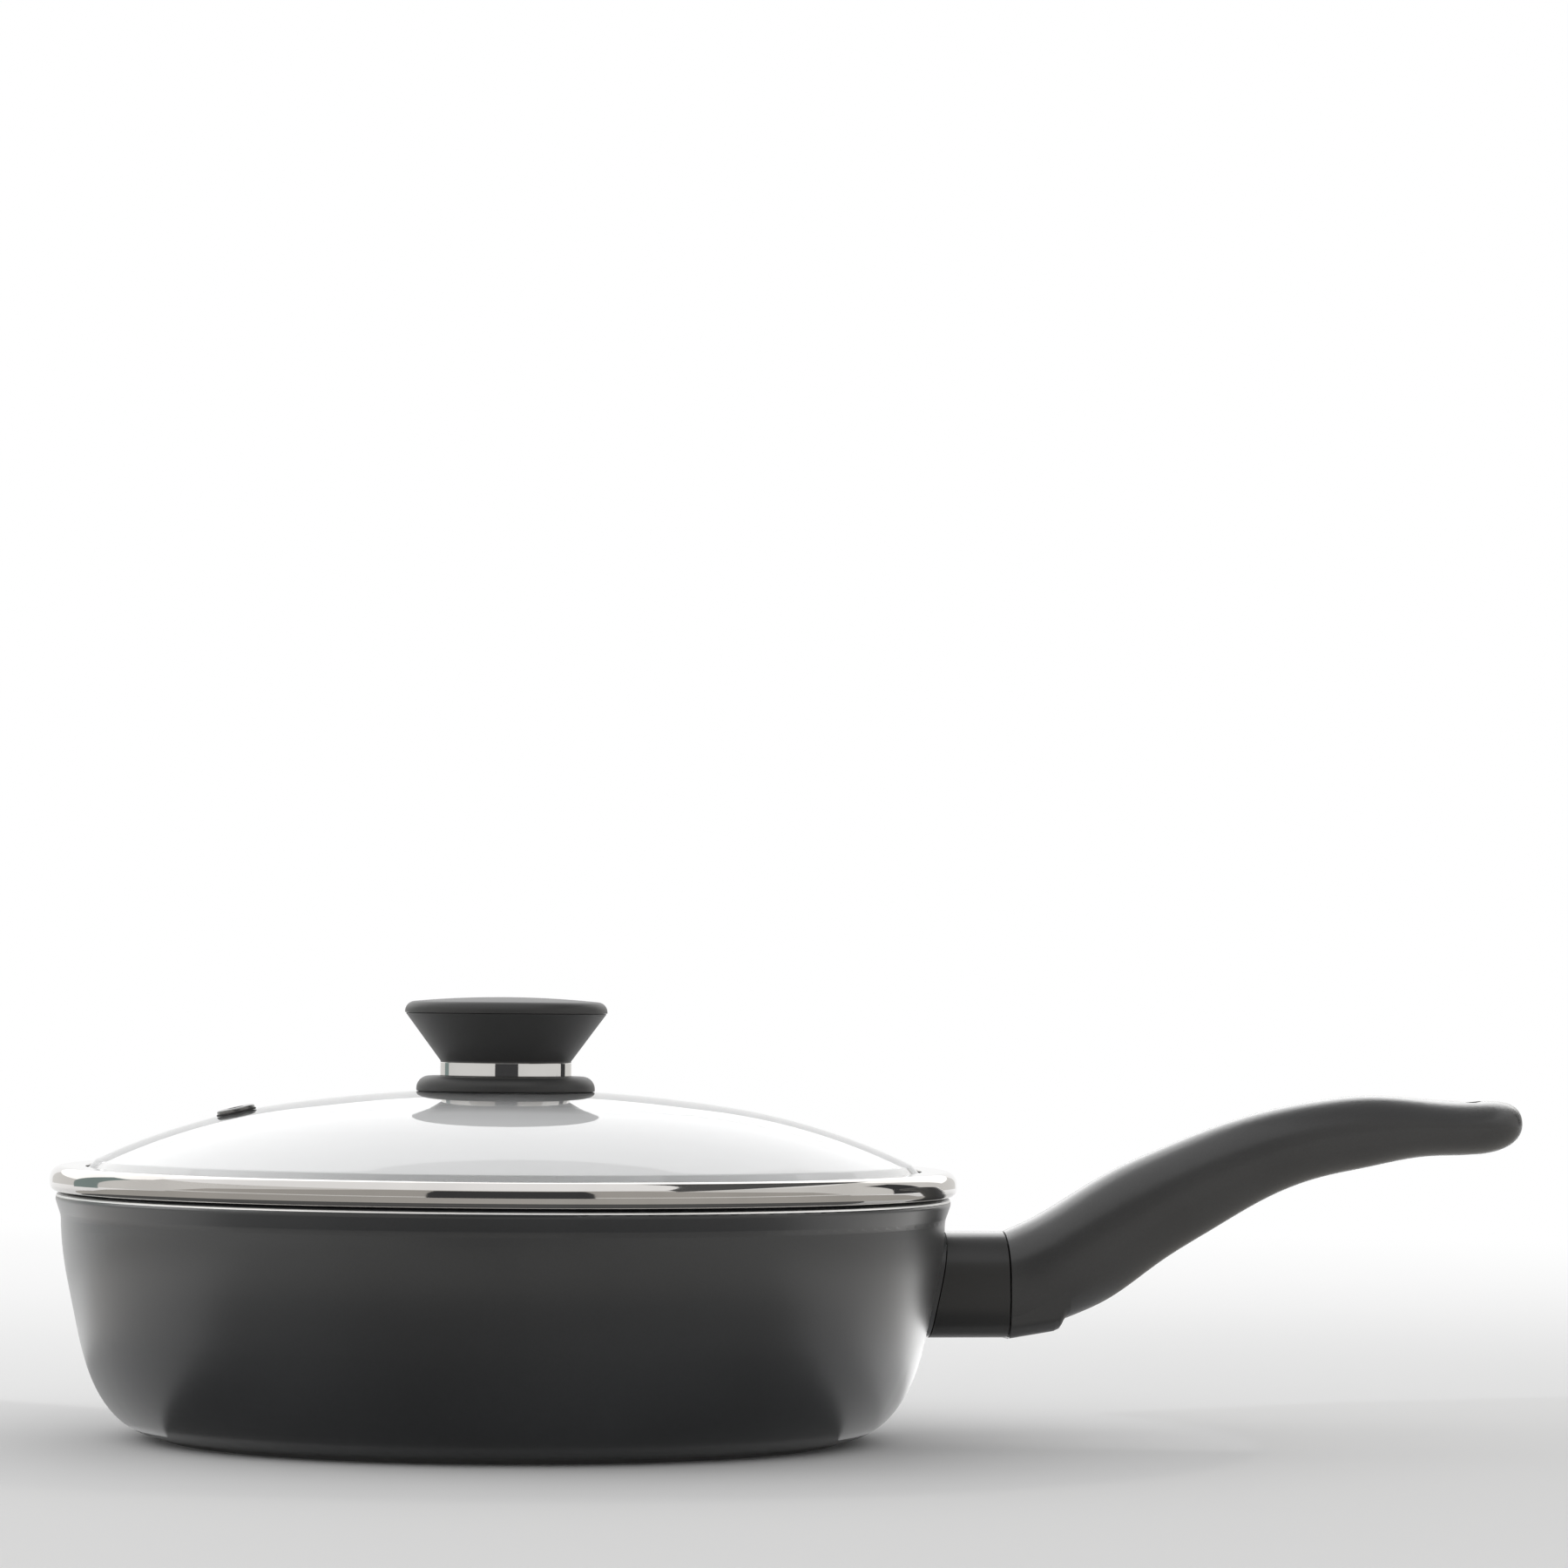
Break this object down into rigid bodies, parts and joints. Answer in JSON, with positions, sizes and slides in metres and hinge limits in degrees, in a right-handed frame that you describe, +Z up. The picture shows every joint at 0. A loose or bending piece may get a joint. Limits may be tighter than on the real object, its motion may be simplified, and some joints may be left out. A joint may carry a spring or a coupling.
{
  "type": "saute pan with lid",
  "caption": "Deep saute pan with curved sides, a domed glass lid with a steel rim and flared knob, and a curved handle that releases from the pan with a key under its front.",
  "frame": {"origin": "centre of the base's underside, where the pan stands", "axes": "+X from the pan's centre along its handle, +Z up through the lid's knob"},
  "size_m": [0.4785, 0.2878, 0.14],
  "materials": {
    "pan_coat": "satin, cast and coated",
    "base_steel": "turned",
    "collar_plastic": "matte",
    "grip_plastic": "soft-touch matte",
    "key_plastic": "matte",
    "knob_plastic": "matte",
    "fitting_steel": "satin",
    "vent_steel": "satin",
    "rim_steel": "polished",
    "ring_steel": "polished",
    "lid_glass": "clear, tempered",
    "seal_rubber": "matte",
    "seal_silicone": "translucent, matte",
    "insert_brass": "plain"
  },
  "bodies": {
    "pan": {"pan_body": "pan_coat", "base_plate": "base_steel", "handle_collar": "collar_plastic", "docking_tongue": "fitting_steel", "tongue_screws": "fitting_steel"},
    "handle": {"handle_grip": "grip_plastic", "grip_socket": "fitting_steel", "socket_screw": "fitting_steel", "latch_pin": "fitting_steel", "latch_spring": "fitting_steel"},
    "latch": {"latch_lever": "key_plastic"},
    "lid": {"lid_glass": "lid_glass", "lid_rim": "rim_steel", "rim_seal": "seal_silicone", "vent_eyelet": "vent_steel", "vent_gasket": "seal_rubber", "knob_flange": "knob_plastic", "knob_gasket": "seal_rubber", "knob_ring": "ring_steel", "knob_grip": "knob_plastic", "knob_cap": "knob_plastic", "knob_insert": "insert_brass", "knob_screw": "fitting_steel", "knob_washer": "fitting_steel", "knob_seal": "seal_rubber"}
  },
  "joints": [
    {"name": "lid_lift", "type": "slide", "parent": "pan", "child": "lid", "axis": [0, 0, 1], "range_m": [0, 0.15]},
    {"name": "handle_slide", "type": "slide", "parent": "pan", "child": "handle", "axis": [1, 0, 0], "range_m": [0, 0.06]},
    {"name": "latch_press", "type": "hinge", "parent": "handle", "child": "latch", "pos_m": [0.1715, 0, 0.042], "axis": [0, -1, 0], "range_deg": [0, 14], "stiffness_Nm_per_rad": 0.02, "springref_deg": -11.46, "deforming": ["latch_spring"]}
  ]
}
